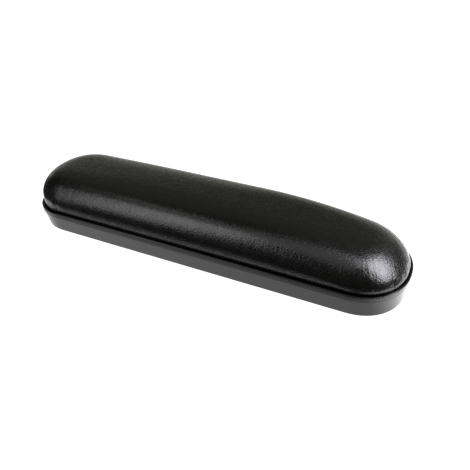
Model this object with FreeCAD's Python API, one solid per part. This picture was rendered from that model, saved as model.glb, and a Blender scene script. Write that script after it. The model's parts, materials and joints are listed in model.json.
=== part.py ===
"""Upholstered chair armrest pad: crowned vinyl pad on a board, held in a moulded plastic tray.

Frame: +X towards the sloping nose, +Y across the pad, +Z up. The origin is the centre of the
flat underside. All lengths are in millimetres.
"""
import FreeCAD, Part

import math
import os

from FreeCAD import Vector

# Driving dimensions
PAD_LENGTH = 255.5
PAD_WIDTH = 68.8
PAD_HEIGHT = 36.8
CAP_LENGTH = 29.75
CAP_POWER = 2.19

# Moulded tray
RIM_TOP = 13.7
RIM_BOTTOM = 10.5
RIM_ROUND = 0.45
LIP_WIDTH = 1.15
STEP_INSET = 0.55
FOOT_INSET = 2.0
FOOT_SHIFT = 1.0
FOOT_ROUND = 0.5
FLOOR_THICKNESS = 2.4
WALL_THICKNESS = 2.2
RIB_THICKNESS = 1.8
RIB_TOP = 12.0
LEDGE_INSET = 6.6

# Upholstery
COVER_INSET = 1.7
COVER_THICKNESS = 0.9
HEM_WIDTH = 14.0
HEM_BOTTOM = 14.2
BOARD_THICKNESS = 5.0
BOARD_BOTTOM = HEM_BOTTOM + COVER_THICKNESS
BOARD_TOP = BOARD_BOTTOM + BOARD_THICKNESS
EDGE_TOP = 16.0
FIT_GAP = 0.1

# Crown: it starts a little below the top of the upright edge. Its height on the spine, and the
# powers that shape its cross-section, change from the sides to the heel and the nose.
CROWN_BASE = 15.7
CROWN_INSET = 0.08
HEEL_DROP = 1.1
NOSE_DROP = 10.8
CROWN_TOP = {"side": PAD_HEIGHT, "heel": PAD_HEIGHT - HEEL_DROP, "nose": PAD_HEIGHT - NOSE_DROP}
CROWN_POWER = {"side": 4.2, "heel": 3.65, "nose": 1.2}
EDGE_POWER = {"side": 2.35, "heel": 2.4, "nose": 1.65}
SLOPE_LENGTH = 100.0
HALF_SAMPLES = 9
STATIONS = 44

# Fastening to the chair: two 1/4-20 inserts, 3-3/4 in apart
MOUNT_SPACING = 95.25
INSERT_BORE_R = 2.55
INSERT_BARREL_R = 3.9
INSERT_LENGTH = 7.5
INSERT_FLANGE_R = 9.5
INSERT_FLANGE_THICKNESS = 1.3
PRONG_REACH = 7.6
PRONG_LENGTH = 3.8
PRONG_WIDTH = 2.4
PRONG_THICKNESS = 1.0
STANDOFF_R = 8.0
STANDOFF_BORE_R = INSERT_BARREL_R + FIT_GAP

# Tray screws: No. 6 pan head, self-tapping
SCREW_X = (-85.0, 0.0, 85.0)
SCREW_Y = 11.0
SCREW_SEAT = 7.0
SCREW_LENGTH = 12.7
SCREW_MAJOR_R = 1.75
SCREW_MINOR_R = 1.25
SCREW_PITCH = 1.3
SCREW_HEAD_R = 3.3
SCREW_HEAD_HEIGHT = 2.4
SCREW_CROWN_R = 2.4
DRIVE_DEPTH = 1.5
DRIVE_WIDTH = 0.9
DRIVE_LENGTH = 3.6
BOSS_R = 6.0
BOSS_BORE_R = 1.95
BOSS_RECESS_R = 3.9

# Staples
STAPLE_SPAN = 10.0
STAPLE_WIRE = 0.9
STAPLE_FLAT = 0.6
STAPLE_LEG = 3.8
STAPLE_INSET = 12.0
STAPLES_PER_SIDE = 11
STAPLES_PER_CAP = 4
STAPLED_ARC = math.radians(130)

CAP_CENTRE = PAD_LENGTH / 2 - CAP_LENGTH
HALF_WIDTH = PAD_WIDTH / 2
SLOPE_START = PAD_LENGTH / 2 - SLOPE_LENGTH
UP = Vector(0, 0, 1)


def cap_point(inset, angle):
    """Point of the rounded end, measured from the cap's centre, at a parameter angle."""
    power = 2 / CAP_POWER
    along = (CAP_LENGTH - inset) * math.cos(angle) ** power
    across = (HALF_WIDTH - inset) * abs(math.sin(angle)) ** power
    return along, math.copysign(across, angle)


def outline(inset, z):
    """Closed wire of the pad's plan shape, drawn in by an inset, at height z."""
    steps = 12
    half = HALF_WIDTH - inset
    edges = []
    for side in (1, -1):
        points = []
        for i in range(steps + 1):
            angle = (i / steps - 0.5) * math.pi
            if i in (0, steps):
                along, across = 0.0, math.copysign(half, angle)
            else:
                along, across = cap_point(inset, angle)
            points.append(Vector(side * (CAP_CENTRE + along), side * across, z))
        curve = Part.BSplineCurve()
        tangent = Vector(side, 0, 0)
        curve.interpolate(Points=points, InitialTangent=tangent, FinalTangent=-tangent, Scale=False)
        edges.append(curve.toShape())
        start = Vector(side * CAP_CENTRE, side * half, z)
        end = Vector(-side * CAP_CENTRE, side * half, z)
        edges.append(Part.LineSegment(start, end).toShape())
    return Part.Wire(edges)


def slab(inset, bottom, top):
    """Straight-sided block of the plan shape."""
    return Part.Face(outline(inset, bottom)).extrude(UP * (top - bottom))


def drafted(bottom_inset, bottom, top_inset, top):
    """Block of the plan shape whose walls lean from one inset to another.

    Its bottom is shifted towards the nose, where the tray's wall is steeper than at the heel.
    """
    foot = outline(bottom_inset, bottom)
    foot.translate(Vector(FOOT_SHIFT, 0, 0))
    return Part.makeLoft([foot, outline(top_inset, top)], True, True)


def rod(radius, x, y, bottom, top):
    return Part.makeCylinder(radius, top - bottom, Vector(x, y, bottom))


def box(x_centre, y_centre, length, width, bottom, top):
    corner = Vector(x_centre - length / 2, y_centre - width / 2, bottom)
    return Part.makeBox(length, width, top - bottom, corner)


def edges_at(shape, z):
    """Edges that lie flat at height z."""
    near = 1e-4
    flat = []
    for edge in shape.Edges:
        limits = edge.BoundBox
        if abs(limits.ZMin - z) < near and abs(limits.ZMax - z) < near:
            flat.append(edge)
    return flat


def mount_positions():
    return [(-MOUNT_SPACING / 2, 0.0), (MOUNT_SPACING / 2, 0.0)]


def screw_positions():
    return [(x, y) for x in SCREW_X for y in (-SCREW_Y, SCREW_Y)]


# The tray

def tray_shell():
    wall = drafted(FOOT_INSET, 0, STEP_INSET, RIM_BOTTOM)
    wall = wall.makeFillet(FOOT_ROUND, edges_at(wall, 0))
    rim = slab(0, RIM_BOTTOM, RIM_TOP)
    rim = rim.makeFillet(RIM_ROUND, edges_at(rim, RIM_TOP))
    shell = wall.fuse(rim)
    thick_inset = STEP_INSET + WALL_THICKNESS
    neck = RIM_TOP - 2 * LIP_WIDTH
    shell = shell.cut(drafted(FOOT_INSET + WALL_THICKNESS, FLOOR_THICKNESS, thick_inset, neck))
    return shell.cut(drafted(thick_inset, neck, LIP_WIDTH, RIM_TOP))


def tray_ribs():
    """Ledge ring under the hem, and straight ribs that tie the bosses to the walls."""
    floor = FLOOR_THICKNESS / 2
    ring = slab(LEDGE_INSET, floor, HEM_BOTTOM)
    ring = ring.cut(slab(LEDGE_INSET + RIB_THICKNESS, floor, HEM_BOTTOM))
    inside = slab(LEDGE_INSET + RIB_THICKNESS / 2, floor, RIB_TOP)
    ribs = []
    for y in (-SCREW_Y, SCREW_Y):
        ribs.append(box(0, y, PAD_LENGTH, RIB_THICKNESS, floor, RIB_TOP))
    for x in SCREW_X + (-MOUNT_SPACING / 2, MOUNT_SPACING / 2):
        ribs.append(box(x, 0, RIB_THICKNESS, PAD_WIDTH, floor, RIB_TOP))
    grid = ribs[0].multiFuse(ribs[1:])
    return [ring, grid.common(inside)]


def base_tray():
    bosses = [rod(BOSS_R, x, y, FLOOR_THICKNESS / 2, BOARD_BOTTOM) for x, y in screw_positions()]
    standoffs = [rod(STANDOFF_R, x, y, FLOOR_THICKNESS / 2, BOARD_BOTTOM) for x, y in mount_positions()]
    tray = tray_shell().multiFuse(tray_ribs() + bosses + standoffs)
    holes = []
    for x, y in screw_positions():
        holes.append(rod(BOSS_RECESS_R, x, y, -1, SCREW_SEAT))
        holes.append(rod(BOSS_BORE_R, x, y, 0, BOARD_BOTTOM + 1))
    holes += [rod(STANDOFF_BORE_R, x, y, -1, BOARD_BOTTOM + 1) for x, y in mount_positions()]
    return tray.cut(holes[0].multiFuse(holes[1:])).removeSplitter()


# The crowned pad

def blend(values, x):
    """A value of the crown at x, which changes from the sides towards the end that x is near."""
    end = "nose" if x > 0 else "heel"
    share = max(0.0, (abs(x) - SLOPE_START) / SLOPE_LENGTH) ** 2
    return values["side"] + (values[end] - values["side"]) * share


def crown_z(x, edge_fraction, inset):
    """Height of the crown at x, where edge_fraction is 0 on the outline and 1 on the spine."""
    top = blend(CROWN_TOP, x) - inset
    rise = 1 - (1 - edge_fraction) ** blend(CROWN_POWER, x)
    return CROWN_BASE + (top - CROWN_BASE) * rise ** (1 / blend(EDGE_POWER, x))


def crown_section(x, inset):
    """Closed cross-section at x: a flat base, and a curve over the crown."""
    plan_inset = COVER_INSET + inset
    reach = max(0.0, abs(x) - CAP_CENTRE) / (CAP_LENGTH - plan_inset)
    half = HALF_WIDTH - plan_inset
    width = half * (1 - reach ** CAP_POWER) ** (1 / CAP_POWER)
    points = []
    for i in range(-HALF_SAMPLES, HALF_SAMPLES + 1):
        if abs(i) == HALF_SAMPLES:
            points.append(Vector(x, math.copysign(width, i), CROWN_BASE))
            continue
        share = abs(i) / HALF_SAMPLES
        across = width * (1 - (1 - share) ** blend(EDGE_POWER, x))
        radius = (reach ** CAP_POWER + (across / half) ** CAP_POWER) ** (1 / CAP_POWER)
        points.append(Vector(x, math.copysign(across, i), crown_z(x, 1 - radius, inset)))
    curve = Part.BSplineCurve()
    curve.interpolate(points)
    base = Part.LineSegment(points[-1], points[0])
    return Part.Wire([curve.toShape(), base.toShape()])


def crown(inset):
    """Solid crown above its base plane, drawn in by an inset, pointed at both tips."""
    tip = PAD_LENGTH / 2 - COVER_INSET - inset
    stations = [tip * math.cos(math.pi * i / STATIONS) for i in range(1, STATIONS)]
    sections = [Part.Vertex(Vector(tip, 0, CROWN_BASE))]
    sections += [crown_section(x, inset) for x in stations]
    sections.append(Part.Vertex(Vector(-tip, 0, CROWN_BASE)))
    return Part.makeLoft(sections, True, False)


def padded_block(inset, bottom):
    """The crown on its upright edge, with a flat bottom."""
    edge = slab(COVER_INSET + inset, bottom, EDGE_TOP)
    return edge.fuse(crown(inset + CROWN_INSET)).removeSplitter()


def insert_pockets():
    """Space that the inserts take in the board, whose top they are flush with."""
    flange_bottom = BOARD_TOP - INSERT_FLANGE_THICKNESS
    pockets = []
    for x, y in mount_positions():
        pockets.append(rod(INSERT_BARREL_R + FIT_GAP, x, y, BOARD_BOTTOM - 1, BOARD_TOP))
        pockets.append(rod(INSERT_FLANGE_R + FIT_GAP, x, y, flange_bottom, BOARD_TOP + 1))
        pockets += prongs(x, y, FIT_GAP)
    return pockets[0].multiFuse(pockets[1:])


def prongs(x, y, gap):
    """Four teeth bent down from an insert's flange into the board."""
    teeth = []
    for turn in range(4):
        bottom = BOARD_TOP - PRONG_LENGTH - gap
        tooth = box(PRONG_REACH, 0, PRONG_THICKNESS + 2 * gap, PRONG_WIDTH + 2 * gap, bottom, BOARD_TOP)
        tooth.rotate(Vector(0, 0, 0), UP, 90 * turn + 45)
        tooth.translate(Vector(x, y, 0))
        teeth.append(tooth)
    return teeth


def tee_nut(x, y):
    barrel_bottom = BOARD_TOP - INSERT_LENGTH
    flange = rod(INSERT_FLANGE_R, x, y, BOARD_TOP - INSERT_FLANGE_THICKNESS, BOARD_TOP)
    barrel = rod(INSERT_BARREL_R, x, y, barrel_bottom, BOARD_TOP)
    body = flange.multiFuse([barrel] + prongs(x, y, 0))
    return body.cut(rod(INSERT_BORE_R, x, y, barrel_bottom - 1, BOARD_TOP + 1)).removeSplitter()


def insert_board(core, staples):
    """Board: the lower layer of what the cover wraps. Its nose is bevelled by the slope."""
    board = core.common(slab(0, BOARD_BOTTOM - 1, BOARD_TOP))
    holes = [rod(SCREW_MAJOR_R + FIT_GAP, x, y, BOARD_BOTTOM - 1, BOARD_TOP) for x, y in screw_positions()]
    return board.cut(insert_pockets().multiFuse(holes)).cut(staples)


def foam_pad(core):
    """Foam: the upper layer of what the cover wraps, glued flat to the board."""
    return core.cut(slab(0, BOARD_BOTTOM - 1, BOARD_TOP))


def vinyl_cover(staples):
    """Skin over the crown and the board's edge, with its hem turned under the board."""
    skin = padded_block(0, HEM_BOTTOM).cut(padded_block(COVER_THICKNESS, BOARD_BOTTOM))
    opening = slab(COVER_INSET + HEM_WIDTH, HEM_BOTTOM - 1, BOARD_BOTTOM + 1)
    return skin.cut(opening).cut(staples)


# Fasteners

def tray_screw(x, y):
    """Pan-head screw, driven from below, with ringed threads."""
    head_bottom = SCREW_SEAT - SCREW_HEAD_HEIGHT
    tip = SCREW_SEAT + SCREW_LENGTH
    crown_rise = SCREW_HEAD_HEIGHT / 3
    profile = [Vector(0, 0, head_bottom), Vector(SCREW_CROWN_R, 0, head_bottom)]
    profile.append(Vector(SCREW_HEAD_R, 0, head_bottom + crown_rise))
    profile.append(Vector(SCREW_HEAD_R, 0, SCREW_SEAT))
    profile.append(Vector(SCREW_MINOR_R, 0, SCREW_SEAT))
    turns = int((SCREW_LENGTH - 2 * SCREW_PITCH) / SCREW_PITCH)
    for i in range(turns):
        root = SCREW_SEAT + SCREW_PITCH * (i + 0.5)
        profile.append(Vector(SCREW_MINOR_R, 0, root))
        profile.append(Vector(SCREW_MAJOR_R, 0, root + SCREW_PITCH * 0.4))
        profile.append(Vector(SCREW_MINOR_R, 0, root + SCREW_PITCH * 0.8))
    profile.append(Vector(SCREW_MINOR_R, 0, tip - SCREW_PITCH))
    profile.append(Vector(0, 0, tip))
    face = Part.Face(Part.makePolygon(profile + [profile[0]]))
    screw = face.revolve(Vector(0, 0, 0), UP, 360)
    for width, length in ((DRIVE_WIDTH, DRIVE_LENGTH), (DRIVE_LENGTH, DRIVE_WIDTH)):
        screw = screw.cut(box(0, 0, length, width, head_bottom - 1, head_bottom + DRIVE_DEPTH))
    screw.translate(Vector(x, y, 0))
    return screw


def staple(x, y, angle):
    """U of flat wire: its crown lies under the hem, and its legs go up into the board."""
    crown_bottom = HEM_BOTTOM - STAPLE_FLAT
    leg_top = BOARD_BOTTOM + STAPLE_LEG
    body = box(0, 0, STAPLE_SPAN, STAPLE_WIRE, crown_bottom, HEM_BOTTOM)
    for side in (-1, 1):
        leg_centre = side * (STAPLE_SPAN - STAPLE_FLAT) / 2
        body = body.fuse(box(leg_centre, 0, STAPLE_FLAT, STAPLE_WIRE, HEM_BOTTOM, leg_top))
    body = body.removeSplitter()
    body.rotate(Vector(0, 0, 0), UP, angle)
    body.translate(Vector(x, y, 0))
    return body


def hem_staples():
    """Staples in line with the pad's edge: along both sides and round both ends."""
    row = HALF_WIDTH - STAPLE_INSET
    staples = []
    for i in range(STAPLES_PER_SIDE):
        x = CAP_CENTRE * (2 * i / (STAPLES_PER_SIDE - 1) - 1)
        staples.append(staple(x, row, 0))
        staples.append(staple(x, -row, 0))
    for side in (-1, 1):
        for i in range(STAPLES_PER_CAP):
            turn = ((i + 0.5) / STAPLES_PER_CAP - 0.5) * STAPLED_ARC
            along, across = cap_point(STAPLE_INSET, turn)
            lean = math.degrees(math.atan2(across, along)) + 90
            staples.append(staple(side * (CAP_CENTRE + along), across, side * lean))
    return Part.makeCompound(staples)


def save(name, shape):
    shape.exportStep(os.path.join("parts", name + ".step"))
    sound = shape.isValid() and shape.Volume > 0
    print(f"{name}: {len(shape.Solids)} solid(s), {shape.Volume / 1000:.2f} cm3, sound {sound}")


def main():
    os.makedirs("parts", exist_ok=True)
    staples = hem_staples()
    save("base_tray", base_tray())
    core = padded_block(COVER_THICKNESS + FIT_GAP, BOARD_BOTTOM)
    save("insert_board", insert_board(core, staples))
    save("foam_pad", foam_pad(core))
    save("vinyl_cover", vinyl_cover(staples))
    save("hem_staples", staples)
    for name, (x, y) in zip(("rear", "front"), mount_positions()):
        save(f"tee_nut_{name}", tee_nut(x, y))
    for number, (x, y) in enumerate(screw_positions(), 1):
        save(f"tray_screw_{number}", tray_screw(x, y))


main()
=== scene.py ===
"""Looks of the upholstered armrest pad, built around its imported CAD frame.

The tray, the board, the foam and the fasteners keep their CAD shapes and get materials. The vinyl
cover is a mesh of its own: a skin drawn over the pad, let settle as cloth, then given its puckers.
All lengths are in metres, in the frame's own axes: +X towards the sloping nose, +Z up.
"""
import json
import math

import bmesh
import bpy
import numpy as np
from mathutils import Matrix, Vector


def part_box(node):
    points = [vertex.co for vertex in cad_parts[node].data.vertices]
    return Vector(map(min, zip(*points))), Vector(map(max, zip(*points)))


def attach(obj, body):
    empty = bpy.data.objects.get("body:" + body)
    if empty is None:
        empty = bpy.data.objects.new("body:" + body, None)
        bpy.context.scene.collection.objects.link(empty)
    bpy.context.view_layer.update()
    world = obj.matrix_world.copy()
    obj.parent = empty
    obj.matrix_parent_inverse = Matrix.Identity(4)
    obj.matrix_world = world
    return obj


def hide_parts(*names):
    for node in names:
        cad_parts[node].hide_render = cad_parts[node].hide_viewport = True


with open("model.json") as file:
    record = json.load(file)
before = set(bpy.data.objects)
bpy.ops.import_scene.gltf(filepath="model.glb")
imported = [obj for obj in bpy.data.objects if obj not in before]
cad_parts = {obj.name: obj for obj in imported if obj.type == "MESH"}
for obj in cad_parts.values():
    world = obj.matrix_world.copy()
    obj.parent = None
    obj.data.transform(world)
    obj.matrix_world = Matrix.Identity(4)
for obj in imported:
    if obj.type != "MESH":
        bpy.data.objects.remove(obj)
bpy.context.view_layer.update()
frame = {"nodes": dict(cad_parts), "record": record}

MM = 0.001

# The pad's main sizes, read from the frame
COVER_LOW, COVER_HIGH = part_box("vinyl_cover")
BOARD_LOW, BOARD_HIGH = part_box("insert_board")
TRAY_LOW, TRAY_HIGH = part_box("base_tray")
HALF_LENGTH = COVER_HIGH.x
HALF_WIDTH = COVER_HIGH.y
HEM_Z = COVER_LOW.z
FLOOR_Z = TRAY_LOW.z - 0.2 * MM

# Plan shape of the cover: straight sides and rounded caps
CAP_LENGTH = 28.05 * MM
CAP_POWER = 2.19
CAP_CENTRE = HALF_LENGTH - CAP_LENGTH

# Crown of the cover. Each value has one number for the sides, one for the heel, one for the nose.
EDGE_Z = {"side": BOARD_HIGH.z, "heel": BOARD_HIGH.z, "nose": BOARD_HIGH.z - 5.4 * MM}
TOP_Z = {"side": 36.8 * MM, "heel": 35.7 * MM, "nose": 26.0 * MM}
CROWN_POWER = {"side": 4.6, "heel": 4.6, "nose": 1.5}
EDGE_POWER = {"side": 1.6, "heel": 1.35, "nose": 1.6}
SLOPE_LENGTH = 100 * MM
SLOPE_START = TRAY_HIGH.x - SLOPE_LENGTH

# Lower edge of the cover: a hem with a rounded corner that sags off its ledge, and a tuck above it
HEM_WIDTH = 14 * MM
HEM_ROUND = 0.5 * MM
HEM_SAG = 1.3 * MM
SAG_REACH = 4.4 * MM
TUCK = {"side": 0.5 * MM, "heel": 0.5 * MM, "nose": 0.35 * MM}
TUCK_POWER = 2.6
SKIN = 0.3 * MM  # thinner than the CAD cover, because the tuck brings its edge close to the board

# Mesh of the skin: columns along a side and round an end, and rings from the edge to the inner ring
SIDE_STEPS = 104
END_STEPS = 24
INNER_SHARE = 0.5
CROWN_RINGS = 16
CROWN_SPACING = 1.7
OUTLINE_SAMPLES = 400

# Cloth: how long it runs, how far a point may move, and its pressure and spare length
CLOTH_FRAMES = 24
CLOTH_REACH = 1.1 * MM
PRESSURE = 0.6
SWELL = -0.035

# Puckers at each end: (angle round the cap in degrees, width in degrees, depth and height of top in mm)
PUCKERS = {
    "heel": [(-88, 5, 0.30, 24), (-76, 4, 0.38, 26), (-66, 3, 0.26, 22), (-55, 5, 0.42, 27),
             (-44, 4, 0.30, 23), (-30, 5, 0.36, 26), (-14, 4, 0.28, 23), (3, 5, 0.36, 25),
             (20, 4, 0.30, 23), (36, 5, 0.38, 26), (52, 4, 0.30, 23), (68, 5, 0.36, 26), (82, 4, 0.28, 22)],
    "nose": [(-80, 5, 0.24, 20), (-62, 4, 0.20, 19), (-41, 5, 0.24, 20), (-18, 4, 0.20, 19),
             (4, 5, 0.24, 19), (27, 4, 0.22, 19), (46, 5, 0.26, 20), (64, 4, 0.22, 20), (81, 5, 0.24, 21)],
}

# Radiance of the floor, at its plain level and where it is brightest by the nose
FLOOR_GLOW = 1.25
POOL_GLOW = 3.0
LAMP_DISTANCE = 1.2


def smoothstep(low, high, x):
    """0 below low, 1 above high, and a smooth rise between."""
    t = min(1.0, max(0.0, (x - low) / (high - low)))
    return t * t * (3 - 2 * t)


# The cover's shape

def slope_share(x):
    """0 on the level part of the pad, rising to 1 at either tip."""
    return min(1.0, max(0.0, (abs(x) - SLOPE_START) / SLOPE_LENGTH)) ** 2


def along(values, x):
    """Value at x, between that of the sides and that of the end which x is near."""
    end = "nose" if x > 0 else "heel"
    return values["side"] + (values[end] - values["side"]) * slope_share(x)


def radius_share(x, y):
    """1 on the cover's outline and 0 on its spine."""
    reach = max(0.0, abs(x) - CAP_CENTRE) / CAP_LENGTH
    return (reach ** CAP_POWER + (abs(y) / HALF_WIDTH) ** CAP_POWER) ** (1 / CAP_POWER)


def crown_z(x, share):
    """Height of the crown at x, where share is 1 on the outline and 0 on the spine."""
    rise = 1 - min(1.0, share) ** along(CROWN_POWER, x)
    edge = along(EDGE_Z, x)
    return edge + (along(TOP_Z, x) - edge) * rise ** (1 / along(EDGE_POWER, x))


def quadrant_rays():
    """Rays from the nose tip to the middle of the +Y side: (centre x, reach x, reach y).

    A point on a ray is (centre + reach x * share, reach y * share).
    """
    rays = []
    for i in range(OUTLINE_SAMPLES + 1):
        angle = math.pi / 2 * i / OUTLINE_SAMPLES
        x = max(0.0, math.cos(angle)) ** (2 / CAP_POWER)
        y = math.sin(angle) ** (2 / CAP_POWER)
        rays.append((CAP_CENTRE, CAP_LENGTH * x, HALF_WIDTH * y))
    corner = OUTLINE_SAMPLES // 2
    rays.append((0.0, 0.0, HALF_WIDTH))
    rays = np.array(rays)
    points = np.c_[rays[:, 0] + rays[:, 1], rays[:, 2]]
    travel = np.r_[0, np.cumsum(np.linalg.norm(np.diff(points, axis=0), axis=1))]
    ends = np.linspace(0, travel[corner], END_STEPS // 2 + 1)
    sides = np.linspace(travel[corner], travel[-1], SIDE_STEPS // 2 + 1)[1:]
    wanted = np.r_[ends, sides]
    return np.c_[[np.interp(wanted, travel, rays[:, k]) for k in range(3)]].T


def outline_rays():
    """Rays all round the cover, anticlockwise from the nose tip, as many as the mesh has columns."""
    first = quadrant_rays()
    second = first[::-1][1:] * (-1, -1, 1)
    third = first[1:] * (-1, -1, -1)
    fourth = first[::-1][1:-1] * (1, 1, -1)
    return np.vstack([first, second, third, fourth])


def ring_at(rays, share, inset=0.0):
    """Plan points of one ring: a share of the outline, drawn in by an inset or by one per ray."""
    x = rays[:, 0] + rays[:, 1] * share * (1 - inset / CAP_LENGTH)
    y = rays[:, 2] * share * (1 - inset / HALF_WIDTH)
    return np.c_[x, y]


def skin_rings(rays):
    """Rings of the skin from the hem's free edge, round the bottom edge and up to the inner ring.

    The hem sags a little off its ledge, and the upright edge is tucked in towards its bottom.
    """
    rings = []
    edge = ring_at(rays, 1)
    edge_z = np.array([along(EDGE_Z, x) for x in edge[:, 0]])
    tuck = np.array([along(TUCK, x) for x in edge[:, 0]])
    for inset in (HEM_WIDTH, 0.75 * HEM_WIDTH, 0.5 * HEM_WIDTH, 4.6 * MM, 3.4 * MM, 2.2 * MM):
        sag = HEM_SAG * (1 - smoothstep(HEM_ROUND, SAG_REACH, inset))
        rings.append(np.c_[ring_at(rays, 1, inset), np.full(len(rays), HEM_Z - sag)])
    bottom = HEM_Z - HEM_SAG
    for turn in np.linspace(0, math.pi / 2, 5):
        inset = tuck + HEM_ROUND * (1 - math.sin(turn))
        z = bottom + HEM_ROUND * (1 - math.cos(turn))
        rings.append(np.c_[ring_at(rays, 1, inset), np.full(len(rays), z)])
    low = bottom + HEM_ROUND
    for share in (0.15, 0.3, 0.45, 0.6, 0.8):
        tucked = ring_at(rays, 1, tuck * (1 - share) ** TUCK_POWER)
        rings.append(np.c_[tucked, low + (edge_z - low) * share])
    for i in range(CROWN_RINGS + 1):
        share = 1 - (1 - INNER_SHARE) * (i / CROWN_RINGS) ** CROWN_SPACING
        plan = ring_at(rays, share)
        z = [crown_z(x, share) for x in plan[:, 0]]
        rings.append(np.c_[plan, z])
    return rings


def inner_grid(ring):
    """Grid of plan points that fills the inner ring, with its corners on the caps' diagonals."""
    n, m = SIDE_STEPS, END_STEPS
    corner = m // 2
    index = np.empty((n + 1, m + 1), int)
    index[:] = -1
    for u in range(n + 1):
        index[u, 0] = corner + u
        index[u, m] = corner + 2 * n + m - u
    for v in range(m + 1):
        index[0, v] = (corner - v) % len(ring)
        index[n, v] = corner + n + v
    grid = np.zeros((n + 1, m + 1, 2))
    border = index >= 0
    grid[border] = ring[index[border]][:, :2]
    for u in range(1, n):
        for v in range(1, m):
            a, b = u / n, v / m
            rows = (1 - b) * grid[u, 0] + b * grid[u, m]
            columns = (1 - a) * grid[0, v] + a * grid[n, v]
            near = (1 - b) * grid[0, 0] + b * grid[0, m]
            far = (1 - b) * grid[n, 0] + b * grid[n, m]
            grid[u, v] = rows + columns - ((1 - a) * near + a * far)
    return grid, index


def skin_mesh():
    """Outer surface of the cover as one mesh, open only at the hem's free edge."""
    rays = outline_rays()
    rings = skin_rings(rays)
    count = len(rays)
    points = np.vstack(rings).tolist()
    faces = []
    for r in range(len(rings) - 1):
        for i in range(count):
            j = (i + 1) % count
            faces.append((r * count + i, r * count + j, (r + 1) * count + j, (r + 1) * count + i))
    grid, index = inner_grid(rings[-1])
    offset = (len(rings) - 1) * count
    number = np.where(index >= 0, index + offset, -1)
    for u in range(1, SIDE_STEPS):
        for v in range(1, END_STEPS):
            x, y = grid[u, v]
            number[u, v] = len(points)
            points.append([x, y, crown_z(x, radius_share(x, y))])
    for u in range(SIDE_STEPS):
        for v in range(END_STEPS):
            faces.append(tuple(int(k) for k in (
                number[u, v], number[u + 1, v], number[u + 1, v + 1], number[u, v + 1])))
    mesh = bpy.data.meshes.new("pad_cover")
    mesh.from_pydata(points, [], faces)
    mesh.validate()
    mesh.update()
    return mesh


def add_object(name, mesh):
    piece = bpy.data.objects.new(name, mesh)
    bpy.context.scene.collection.objects.link(piece)
    return piece


def bake_modifiers(piece):
    """Replaces the mesh by what its modifiers make of it, and removes them."""
    graph = bpy.context.evaluated_depsgraph_get()
    mesh = bpy.data.meshes.new_from_object(piece.evaluated_get(graph))
    piece.modifiers.clear()
    old = piece.data
    piece.data = mesh
    bpy.data.meshes.remove(old)
    mesh.name = piece.name


def mesh_points(mesh):
    """Places of the mesh's vertices, one row each."""
    points = np.empty(len(mesh.vertices) * 3)
    mesh.vertices.foreach_get("co", points)
    return points.reshape(-1, 3)


def set_points(mesh, points):
    mesh.vertices.foreach_set("co", points.ravel())
    mesh.update()


# Cloth and puckers

def cloth_weights(piece):
    """Pins the hem and the upright edge, and gives the cover spare cloth round its ends."""
    pin = piece.vertex_groups.new(name="pin")
    spare = piece.vertex_groups.new(name="spare")
    for vertex in piece.data.vertices:
        x, y, z = vertex.co
        held = 1 - smoothstep(HEM_Z + 2.5 * MM, HEM_Z + 6 * MM, z)
        share = radius_share(x, y)
        at_end = smoothstep(CAP_CENTRE - 10 * MM, CAP_CENTRE + 8 * MM, abs(x))
        near_edge = smoothstep(0.45, 0.9, share)
        pin.add([vertex.index], held, "REPLACE")
        spare.add([vertex.index], at_end * near_edge, "REPLACE")


def settle(piece):
    """Lets the cover settle as cloth under slight pressure from inside."""
    cloth_weights(piece)
    start = mesh_points(piece.data)
    cloth = piece.modifiers.new("cloth", "CLOTH")
    settings = cloth.settings
    settings.quality = 6
    settings.mass = 0.4
    settings.tension_stiffness = 40
    settings.compression_stiffness = 40
    settings.shear_stiffness = 20
    settings.bending_stiffness = 1.5
    settings.vertex_group_mass = "pin"
    settings.pin_stiffness = 1
    settings.vertex_group_shrink = "spare"
    settings.shrink_min = 0
    settings.shrink_max = SWELL
    settings.use_pressure = True
    settings.uniform_pressure_force = PRESSURE
    settings.effector_weights.gravity = 0
    cloth.collision_settings.use_collision = False
    scene = bpy.context.scene
    for number in range(1, CLOTH_FRAMES + 1):
        scene.frame_set(number)
    bake_modifiers(piece)
    scene.frame_set(1)
    moved = mesh_points(piece.data) - start
    length = np.linalg.norm(moved, axis=1, keepdims=True)
    moved *= CLOTH_REACH * np.tanh(length / CLOTH_REACH) / np.maximum(length, 1e-9)
    set_points(piece.data, start + moved)
    piece.vertex_groups.clear()
    print("cloth moved up to", round(float(length.max()) / MM, 2), "mm")


def pucker(piece):
    """Presses the small folds into the skin, where the cover is gathered round either cap."""
    mesh = piece.data
    points = mesh_points(mesh)
    normals = np.empty(len(points) * 3)
    mesh.vertex_normals.foreach_get("vector", normals)
    x, y, z = points.T
    angle = np.degrees(np.arctan2(y, np.abs(x) - CAP_CENTRE))
    depth = np.zeros(len(points))
    for end, side in (("nose", x > CAP_CENTRE - 6 * MM), ("heel", x < 6 * MM - CAP_CENTRE)):
        for middle, width, deep, top in PUCKERS[end]:
            fold = np.exp(-((angle - middle) / width) ** 2)
            rise = np.clip((z - HEM_Z) / (2.5 * MM), 0, 1)
            fall = np.clip((top * MM - z) / (top * MM - HEM_Z - 3 * MM), 0, 1)
            depth += side * deep * MM * fold * rise * fall ** 2
    set_points(mesh, points - normals.reshape(-1, 3) * depth[:, None])


def make_cover():
    """The vinyl cover: skin, cloth, subdivision, puckers and thickness, in that order."""
    cover = add_object("pad_cover", skin_mesh())
    settle(cover)
    smooth = cover.modifiers.new("smooth", "SUBSURF")
    smooth.levels = smooth.render_levels = 1
    bake_modifiers(cover)
    pucker(cover)
    thick = cover.modifiers.new("skin", "SOLIDIFY")
    thick.thickness = SKIN
    thick.offset = -1
    bake_modifiers(cover)
    cover.data.shade_smooth()
    cover.data.materials.append(vinyl())
    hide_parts("vinyl_cover")
    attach(cover, "root")


# Materials

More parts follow.
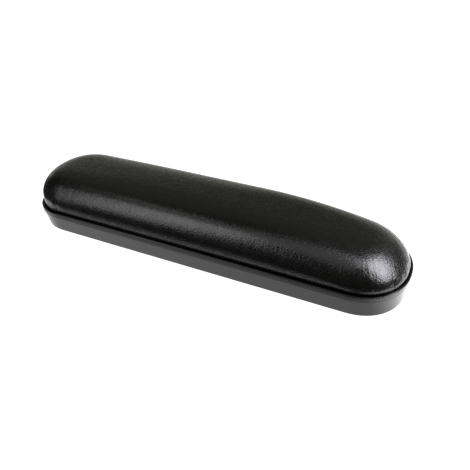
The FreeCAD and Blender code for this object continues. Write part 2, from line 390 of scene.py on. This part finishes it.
def new_material(name):
    """A material that holds one shader: (material, its node tree, the shader)."""
    material = bpy.data.materials.new(name)
    material.use_nodes = True
    tree = material.node_tree
    tree.nodes.clear()
    shader = tree.nodes.new("ShaderNodeBsdfPrincipled")
    output = tree.nodes.new("ShaderNodeOutputMaterial")
    tree.links.new(shader.outputs["BSDF"], output.inputs["Surface"])
    return material, tree, shader


def object_place(tree):
    return tree.nodes.new("ShaderNodeTexCoord").outputs["Object"]


def noise_at(tree, place, scale, detail=2.0, roughness=0.5, distortion=0.0):
    node = tree.nodes.new("ShaderNodeTexNoise")
    node.inputs["Scale"].default_value = scale
    node.inputs["Detail"].default_value = detail
    node.inputs["Roughness"].default_value = roughness
    node.inputs["Distortion"].default_value = distortion
    tree.links.new(place, node.inputs["Vector"])
    return node.outputs["Fac"]


def voronoi_at(tree, place, scale, feature="F1"):
    node = tree.nodes.new("ShaderNodeTexVoronoi")
    node.feature = feature
    node.inputs["Scale"].default_value = scale
    tree.links.new(place, node.inputs["Vector"])
    return node.outputs["Distance"]


def remap(tree, value, from_low, from_high, to_low, to_high):
    node = tree.nodes.new("ShaderNodeMapRange")
    node.inputs["From Min"].default_value = from_low
    node.inputs["From Max"].default_value = from_high
    node.inputs["To Min"].default_value = to_low
    node.inputs["To Max"].default_value = to_high
    tree.links.new(value, node.inputs["Value"])
    return node.outputs["Result"]


def math_of(tree, operation, first, second):
    node = tree.nodes.new("ShaderNodeMath")
    node.operation = operation
    for socket, value in zip(node.inputs, (first, second)):
        if isinstance(value, (int, float)):
            socket.default_value = value
        else:
            tree.links.new(value, socket)
    return node.outputs["Value"]


def colours(tree, value, stops):
    """A colour that follows a value through (position, (red, green, blue)) stops."""
    node = tree.nodes.new("ShaderNodeValToRGB")
    ramp = node.color_ramp
    while len(ramp.elements) < len(stops):
        ramp.elements.new(0.5)
    for element, (position, colour) in zip(ramp.elements, stops):
        element.position = position
        element.color = (*colour, 1)
    tree.links.new(value, node.inputs["Fac"])
    return node.outputs["Color"]


def bump(tree, shader, height, distance):
    node = tree.nodes.new("ShaderNodeBump")
    node.inputs["Distance"].default_value = distance
    node.inputs["Strength"].default_value = 1
    tree.links.new(height, node.inputs["Height"])
    tree.links.new(node.outputs["Normal"], shader.inputs["Normal"])


def wrinkles(tree, place):
    """Fine stretch wrinkles on the slope: arcs round a point beside the pad, short of the nose."""
    offset = tree.nodes.new("ShaderNodeVectorMath")
    offset.operation = "SUBTRACT"
    offset.inputs[1].default_value = (72 * MM, -40 * MM, 0)
    tree.links.new(place, offset.inputs[0])
    split = tree.nodes.new("ShaderNodeSeparateXYZ")
    tree.links.new(offset.outputs["Vector"], split.inputs["Vector"])
    x, y = split.outputs["X"], split.outputs["Y"]
    square = math_of(tree, "ADD", math_of(tree, "MULTIPLY", x, x), math_of(tree, "MULTIPLY", y, y))
    radius = math_of(tree, "SQRT", square, 0.0)
    turn = math_of(tree, "ARCTAN2", y, x)
    polar = tree.nodes.new("ShaderNodeCombineXYZ")
    tree.links.new(math_of(tree, "MULTIPLY", radius, 520.0), polar.inputs["X"])
    tree.links.new(math_of(tree, "MULTIPLY", turn, 3.2), polar.inputs["Y"])
    lines = noise_at(tree, polar.outputs["Vector"], 1.0, 2, 0.5, 0.6)
    place_x = tree.nodes.new("ShaderNodeSeparateXYZ")
    tree.links.new(place, place_x.inputs["Vector"])
    slope = remap(tree, place_x.outputs["X"], 60 * MM, 105 * MM, 0, 1)
    return math_of(tree, "MULTIPLY", math_of(tree, "SUBTRACT", lines, 0.5), slope)


def vinyl():
    """Black grained vinyl: pebbles about two millimetres wide with creases between them."""
    material, tree, shader = new_material("black_vinyl")
    place = object_place(tree)
    warp = tree.nodes.new("ShaderNodeTexNoise")
    warp.inputs["Scale"].default_value = 160
    tree.links.new(place, warp.inputs["Vector"])
    bend = tree.nodes.new("ShaderNodeVectorMath")
    bend.operation = "MULTIPLY_ADD"
    tree.links.new(warp.outputs["Color"], bend.inputs[0])
    bend.inputs[1].default_value = (0.0022, 0.0022, 0.0022)
    tree.links.new(place, bend.inputs[2])
    bent = bend.outputs["Vector"]
    creases = remap(tree, voronoi_at(tree, bent, 520, "DISTANCE_TO_EDGE"), 0, 0.22, 0, 1)
    fine = noise_at(tree, place, 1500, 2)
    broad = noise_at(tree, place, 260, 2)
    height = math_of(tree, "ADD", math_of(tree, "MULTIPLY", creases, 0.36),
                     math_of(tree, "ADD", math_of(tree, "MULTIPLY", fine, 0.09),
                             math_of(tree, "MULTIPLY", broad, 1.35)))
    height = math_of(tree, "ADD", height, math_of(tree, "MULTIPLY", wrinkles(tree, place), 1.7))
    bump(tree, shader, height, 0.09 * MM)
    tint = noise_at(tree, place, 45, 4)
    base = colours(tree, tint, [(0.3, (0.0022, 0.0022, 0.0019)), (0.7, (0.0034, 0.0034, 0.0029))])
    tree.links.new(base, shader.inputs["Base Color"])
    wear = math_of(tree, "ADD", remap(tree, broad, 0.3, 0.7, 0.20, 0.26),
                   remap(tree, creases, 0, 1, 0.06, 0))
    tree.links.new(wear, shader.inputs["Roughness"])
    return material


def tray_plastic():
    """Black moulded plastic: a finely textured wall below a darker rim band. The rim band's darkness is
    painted shade on top of its real smoother finish, and the wall's colour grows lighter towards its top,
    which is painted light.
    """
    material, tree, shader = new_material("tray_plastic")
    place = object_place(tree)
    split = tree.nodes.new("ShaderNodeSeparateXYZ")
    tree.links.new(place, split.inputs["Vector"])
    # The rim band above the step gets a near-black base colour: painted shade, beside its real smoother
    # finish in the roughness below
    wall = remap(tree, split.outputs["Z"], 10.3 * MM, 10.6 * MM, 1, 0)
    # Painted light: the wall's base colour is made lighter towards its top
    rise = remap(tree, split.outputs["Z"], 2 * MM, 10 * MM, 0, 0.3)
    spark = noise_at(tree, place, 2600, 2)
    patches = noise_at(tree, place, 120, 3)
    tint = math_of(tree, "MULTIPLY", wall, math_of(tree, "ADD", math_of(tree, "ADD", rise, 0.5),
                                                   math_of(tree, "MULTIPLY", patches, 0.3)))
    base = colours(tree, tint, [(0.2, (0.002, 0.002, 0.002)), (1.0, (0.026, 0.026, 0.025))])
    tree.links.new(base, shader.inputs["Base Color"])
    rough = math_of(tree, "ADD", remap(tree, wall, 0, 1, 0.28, 0.22),
                    remap(tree, patches, 0.3, 0.7, -0.03, 0.03))
    tree.links.new(rough, shader.inputs["Roughness"])
    bump(tree, shader, math_of(tree, "MULTIPLY", spark, math_of(tree, "ADD", wall, 0.3)), 0.02 * MM)
    return material


def foam():
    """Cream polyurethane foam with open cells."""
    material, tree, shader = new_material("foam")
    place = object_place(tree)
    cells = voronoi_at(tree, place, 1400)
    blotches = noise_at(tree, place, 60, 3)
    base = colours(tree, blotches, [(0.3, (0.66, 0.60, 0.45)), (0.7, (0.75, 0.70, 0.56))])
    tree.links.new(base, shader.inputs["Base Color"])
    shader.inputs["Roughness"].default_value = 0.95
    bump(tree, shader, cells, 0.25 * MM)
    return material


def plywood():
    """Raw birch plywood, with its grain along the board."""
    material, tree, shader = new_material("plywood")
    place = object_place(tree)
    stretch = tree.nodes.new("ShaderNodeVectorMath")
    stretch.operation = "MULTIPLY"
    stretch.inputs[1].default_value = (0.06, 1, 1)
    tree.links.new(place, stretch.inputs[0])
    grain = noise_at(tree, stretch.outputs["Vector"], 420, 4, 0.6, 0.4)
    base = colours(tree, grain, [(0.3, (0.50, 0.33, 0.18)), (0.7, (0.72, 0.54, 0.34))])
    tree.links.new(base, shader.inputs["Base Color"])
    rough = remap(tree, grain, 0, 1, 0.6, 0.75)
    tree.links.new(rough, shader.inputs["Roughness"])
    bump(tree, shader, grain, 0.05 * MM)
    return material


def steel(name, dark, bright, low_rough, high_rough):
    """Plated steel with fine drawn marks and uneven plating."""
    material, tree, shader = new_material(name)
    place = object_place(tree)
    plating = noise_at(tree, place, 500, 3)
    marks = noise_at(tree, place, 3000, 2)
    base = colours(tree, plating, [(0.35, dark), (0.65, bright)])
    tree.links.new(base, shader.inputs["Base Color"])
    shader.inputs["Metallic"].default_value = 1
    tree.links.new(remap(tree, plating, 0.3, 0.7, low_rough, high_rough), shader.inputs["Roughness"])
    bump(tree, shader, marks, 0.015 * MM)
    return material


def dress_frame():
    """Gives each CAD node that shows its material."""
    finishes = {
        "tray_plastic": tray_plastic(),
        "foam": foam(),
        "plywood": plywood(),
        "zinc_steel": steel("zinc_steel", (0.50, 0.50, 0.47), (0.66, 0.66, 0.63), 0.28, 0.4),
        "staple_steel": steel("staple_steel", (0.42, 0.42, 0.42), (0.6, 0.6, 0.6), 0.3, 0.45),
        "black_screw_steel": steel("black_screw_steel", (0.03, 0.03, 0.03), (0.07, 0.07, 0.07), 0.4, 0.55),
    }
    slots = {part["node"]: part["material_slot"] for part in frame["record"]["subparts"]}
    for name, node in frame["nodes"].items():
        if slots[name] in finishes:
            node.data.materials.clear()
            node.data.materials.append(finishes[slots[name]])


# Studio

def toward(azimuth, elevation):
    """Direction from the pad at an azimuth from the front, positive to +X, and an elevation."""
    a, e = math.radians(azimuth), math.radians(elevation)
    return Vector((math.sin(a) * math.cos(e), -math.cos(a) * math.cos(e), math.sin(e)))


def aimed(location, target):
    """World matrix at a location, with -Z towards a target."""
    turn = (target - location).to_track_quat("-Z", "Y").to_matrix().to_4x4()
    return Matrix.Translation(location) @ turn


def area_light(name, target, azimuth, elevation, distance, size, radiance, colour=(1, 1, 1)):
    """Rectangular or round lamp of a given radiance, aimed at a target."""
    light = bpy.data.lights.new(name, "AREA")
    light.shape = "ELLIPSE" if name.startswith("round") else "RECTANGLE"
    light.size, light.size_y = size
    area = size[0] * size[1] * (math.pi / 4 if light.shape == "ELLIPSE" else 1)
    light.energy = radiance * area * math.pi
    light.color = colour
    lamp = bpy.data.objects.new(name, light)
    lamp.matrix_world = aimed(target + toward(azimuth, elevation) * distance, target)
    bpy.context.scene.collection.objects.link(lamp)
    return lamp


def strip_light(name, target, first, second, distance, width, radiance):
    """Long lamp between two directions, given as (azimuth, elevation), facing a target."""
    ends = [target + toward(*direction) * distance for direction in (first, second)]
    centre = (ends[0] + ends[1]) / 2
    forward = (target - centre).normalized()
    length = (ends[1] - ends[0]).length
    along_x = (ends[1] - ends[0]).normalized()
    across = -forward.cross(along_x)
    lamp = area_light(name, target, 0, 0, distance, (length, width), radiance)
    turn = Matrix((along_x, across, -forward)).transposed().to_4x4()
    lamp.matrix_world = Matrix.Translation(centre) @ turn


def emitter(name, strength, one_sided=False):
    """Plain white glow. A one-sided floor can be seen through from below."""
    material = bpy.data.materials.new(name)
    material.use_nodes = True
    tree = material.node_tree
    tree.nodes.clear()
    glow = tree.nodes.new("ShaderNodeEmission")
    glow.inputs["Color"].default_value = (1, 1, 1, 1)
    glow.inputs["Strength"].default_value = strength
    output = tree.nodes.new("ShaderNodeOutputMaterial")
    if one_sided:
        side = tree.nodes.new("ShaderNodeNewGeometry")
        clear = tree.nodes.new("ShaderNodeBsdfTransparent")
        mix = tree.nodes.new("ShaderNodeMixShader")
        tree.links.new(side.outputs["Backfacing"], mix.inputs["Fac"])
        tree.links.new(glow.outputs["Emission"], mix.inputs[1])
        tree.links.new(clear.outputs["BSDF"], mix.inputs[2])
        tree.links.new(mix.outputs["Shader"], output.inputs["Surface"])
    else:
        tree.links.new(glow.outputs["Emission"], output.inputs["Surface"])
    return material


def plane(name, corners, material):
    mesh = bpy.data.meshes.new(name)
    mesh.from_pydata(corners, [], [tuple(range(len(corners)))])
    mesh.materials.append(material)
    piece = add_object(name, mesh)
    return piece


def floor_and_backdrop():
    """A white floor, and a white dome that only the camera sees."""
    reach = 4.0
    corners = [(-reach, -reach), (reach, -reach), (reach, reach), (-reach, reach)]
    plane("floor", [(x, y, FLOOR_Z) for x, y in corners], emitter("white_floor", FLOOR_GLOW, one_sided=True))
    dome = bmesh.new()
    bmesh.ops.create_icosphere(dome, subdivisions=4, radius=2 * reach)
    dome_mesh = bpy.data.meshes.new("backdrop")
    dome.to_mesh(dome_mesh)
    dome.free()
    dome_mesh.materials.append(emitter("white_backdrop", FLOOR_GLOW))
    backdrop = add_object("backdrop", dome_mesh)
    for ray in ("diffuse", "glossy", "transmission", "volume_scatter", "shadow"):
        setattr(backdrop, "visible_" + ray, False)


def nose_pool():
    """A brighter patch of floor by the nose, which fades in away from the pad and lights the tray's end."""
    glow = emitter("pool_glow", FLOOR_GLOW)
    tree = glow.node_tree
    nose_x = TRAY_HIGH.x
    slant_x, slant_y = 0.955, 0.295
    across = tree.nodes.new("ShaderNodeVectorMath")
    across.operation = "DOT_PRODUCT"
    across.inputs[1].default_value = (slant_x, slant_y, 0)
    tree.links.new(object_place(tree), across.inputs[0])
    start = slant_x * nose_x - slant_y * 50 * MM
    bright = remap(tree, across.outputs["Value"], start - 6 * MM, start + 22 * MM, FLOOR_GLOW, POOL_GLOW)
    tree.links.new(bright, tree.nodes["Emission"].inputs["Strength"])
    corners = [(nose_x - 8 * MM, -0.05), (0.32, -0.05), (0.32, 0.16), (nose_x - 42 * MM, 0.06)]
    pool = plane("pool_nose", [(x, y, FLOOR_Z + 0.1 * MM) for x, y in corners], glow)
    pool.visible_camera = False


def black_cards():
    """Dark cards on the floor in front and behind, unseen by the camera, that shade the reflections."""
    dark = bpy.data.materials.new("black_card")
    dark.use_nodes = True
    shader = dark.node_tree.nodes["Principled BSDF"]
    shader.inputs["Base Color"].default_value = (0.01, 0.01, 0.01, 1)
    shader.inputs["Roughness"].default_value = 1
    front = -HALF_WIDTH - 17 * MM
    left = TRAY_LOW.x - 38 * MM
    outlines = {"card_front": [(-2, -2), (2, -2), (2, front), (left, front), (left, 40 * MM), (-2, 0.6)],
                "card_back": [(-2, 0.7), (2, 0.25), (2, 2), (-2, 2)]}
    for name, corners in outlines.items():
        card = plane(name, [(x, y, FLOOR_Z + 1 * MM) for x, y in corners], dark)
        card.visible_camera = False
        card.visible_shadow = False


def lamps():
    """Long lamps along the front and the back, and a round pair over the nose."""
    centre = Vector((0, 0, BOARD_HIGH.z))
    nose = Vector((CAP_CENTRE, 0, BOARD_HIGH.z))
    strips = [("key_low", (-33, 4), (-36, 21), 0.36, 2.7), ("key_middle", (-31, 20), (-40, 50), 0.56, 3.1),
              ("key_top", (-46, 57), (-85, 55), 0.2, 1.3), ("key_high", (-20, 50), (112, 70), 0.5, 0.9)]
    for name, first, second, width, radiance in strips:
        strip_light(name, centre, first, second, LAMP_DISTANCE, width, radiance)
    area_light("back_edge", centre, -155, 9, LAMP_DISTANCE, (2.6, 0.22), 0.75, (1, 1, 0.9))
    area_light("back_low", centre, -165, 23, LAMP_DISTANCE, (2.6, 0.4), 0.135, (1, 1, 0.88))
    area_light("back_high", centre, -160, 52, LAMP_DISTANCE, (2.0, 0.75), 0.13, (1, 1, 0.88))
    area_light("round_lamp", nose, 115, 41, 1.0, (0.66, 0.66), 13.6, (0.93, 0.93, 1.0))
    area_light("round_halo", nose, 114, 69, 1.0, (0.36, 0.36), 3.6, (0.96, 0.96, 1.0))


def surroundings():
    """A dim, even world, and colours shown as they are."""
    world = bpy.data.worlds.new("studio")
    world.use_nodes = True
    bpy.context.scene.world = world
    back = world.node_tree.nodes["Background"]
    back.inputs["Color"].default_value = (0.03, 0.03, 0.028, 1)
    back.inputs["Strength"].default_value = 1
    bpy.context.scene.view_settings.view_transform = "Standard"


def camera():
    """Three-quarter view from the front and right, a little above the pad."""
    azimuth, elevation = math.radians(25.483), math.radians(32.607)
    target = Vector((0, 0, 14.27 * MM))
    distance, right_shift, up_shift = 325.5 * MM, 16.19 * MM, -8.37 * MM
    forward = Vector((-math.sin(azimuth) * math.cos(elevation), math.cos(azimuth) * math.cos(elevation),
                      -math.sin(elevation)))
    right = Vector((math.cos(azimuth), math.sin(azimuth), 0))
    up = right.cross(forward)
    location = target - forward * distance + right * right_shift + up * up_shift
    lens = bpy.data.cameras.new("camera")
    lens.lens = 38.3
    lens.sensor_width = 36
    lens.clip_start = 0.01
    viewer = bpy.data.objects.new("camera", lens)
    viewer.matrix_world = aimed(location, location + forward)
    bpy.context.scene.collection.objects.link(viewer)
    bpy.context.scene.camera = viewer


make_cover()
dress_frame()
floor_and_backdrop()
nose_pool()
black_cards()
lamps()
surroundings()
camera()
